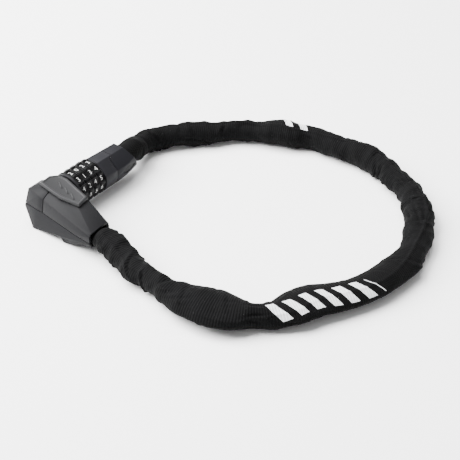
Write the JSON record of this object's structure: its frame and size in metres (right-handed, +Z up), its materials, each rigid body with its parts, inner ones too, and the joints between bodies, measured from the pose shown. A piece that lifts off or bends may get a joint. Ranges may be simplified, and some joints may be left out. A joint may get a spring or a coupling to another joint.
{
  "type": "combination chain lock",
  "caption": "Chain in a woven sleeve joining a faceted hammer-shaped head to a barrel of turning number dials; the head pulls off the barrel along its axis.",
  "frame": {"origin": "centre of the head's flat underside, where the barrel's axis and the head's axis cross in plan", "axes": "+X along the barrel from head to cap, +Z up, the head's mouth faces -Y"},
  "size_m": [0.2754, 0.297, 0.0375],
  "materials": {
    "cover_grey": "satin moulded plastic, mid grey",
    "lid_grey": "satin moulded plastic, light grey",
    "ring_grey": "satin moulded plastic, mid grey",
    "cap_grey": "satin moulded plastic, dark grey",
    "dial_black": "black plastic with white numbers in its flats",
    "black_plastic": "black moulded plastic",
    "cast_zinc": "die-cast zinc, as cast",
    "hard_steel": "turned and hardened steel",
    "chain_steel": "welded steel, bright zinc plated",
    "spring_steel": "spring steel strip",
    "black_steel": "blackened steel",
    "wheel_brass": "sintered brass",
    "sleeve_fabric": "black woven tubular webbing, with a plain white print"
  },
  "bodies": {
    "barrel": {"barrel_core": "cast_zinc", "retaining_ring": "spring_steel", "front_collar": "black_plastic", "detent_balls": "hard_steel", "detent_spring": "spring_steel", "barrel_ring": "ring_grey", "barrel_cap": "cap_grey", "cap_insert": "black_plastic", "chain_rivet": "hard_steel", "sleeve_clamp": "black_steel", "chain_links": "chain_steel", "sleeve": "sleeve_fabric"},
    "head": {"head_base_cover": "cover_grey", "head_rear_cover": "cover_grey", "head_neck_cover": "cover_grey", "head_lid": "lid_grey", "head_core": "cast_zinc", "head_screws": "black_steel", "lock_bolt": "hard_steel", "bolt_pin": "hard_steel", "end_link": "chain_steel", "end_link_pin": "hard_steel", "mouth_collar": "black_plastic"},
    "dial_1": {"dial_1": "dial_black", "code_wheel_1": "wheel_brass"},
    "dial_2": {"dial_2": "dial_black", "code_wheel_2": "wheel_brass"},
    "dial_3": {"dial_3": "dial_black", "code_wheel_3": "wheel_brass"},
    "dial_4": {"dial_4": "dial_black", "code_wheel_4": "wheel_brass"}
  },
  "joints": [
    {"name": "head_pull", "type": "slide", "parent": "barrel", "child": "head", "axis": [-1, 0, 0], "range_m": [0, 0.036]},
    {"name": "dial_1_turn", "type": "hinge", "parent": "barrel", "child": "dial_1", "pos_m": [0.0255, 0, 0.019], "axis": [1, 0, 0], "continuous": true},
    {"name": "dial_2_turn", "type": "hinge", "parent": "barrel", "child": "dial_2", "pos_m": [0.0325, 0, 0.019], "axis": [1, 0, 0], "continuous": true},
    {"name": "dial_3_turn", "type": "hinge", "parent": "barrel", "child": "dial_3", "pos_m": [0.0395, 0, 0.019], "axis": [1, 0, 0], "continuous": true},
    {"name": "dial_4_turn", "type": "hinge", "parent": "barrel", "child": "dial_4", "pos_m": [0.0465, 0, 0.019], "axis": [1, 0, 0], "continuous": true}
  ]
}
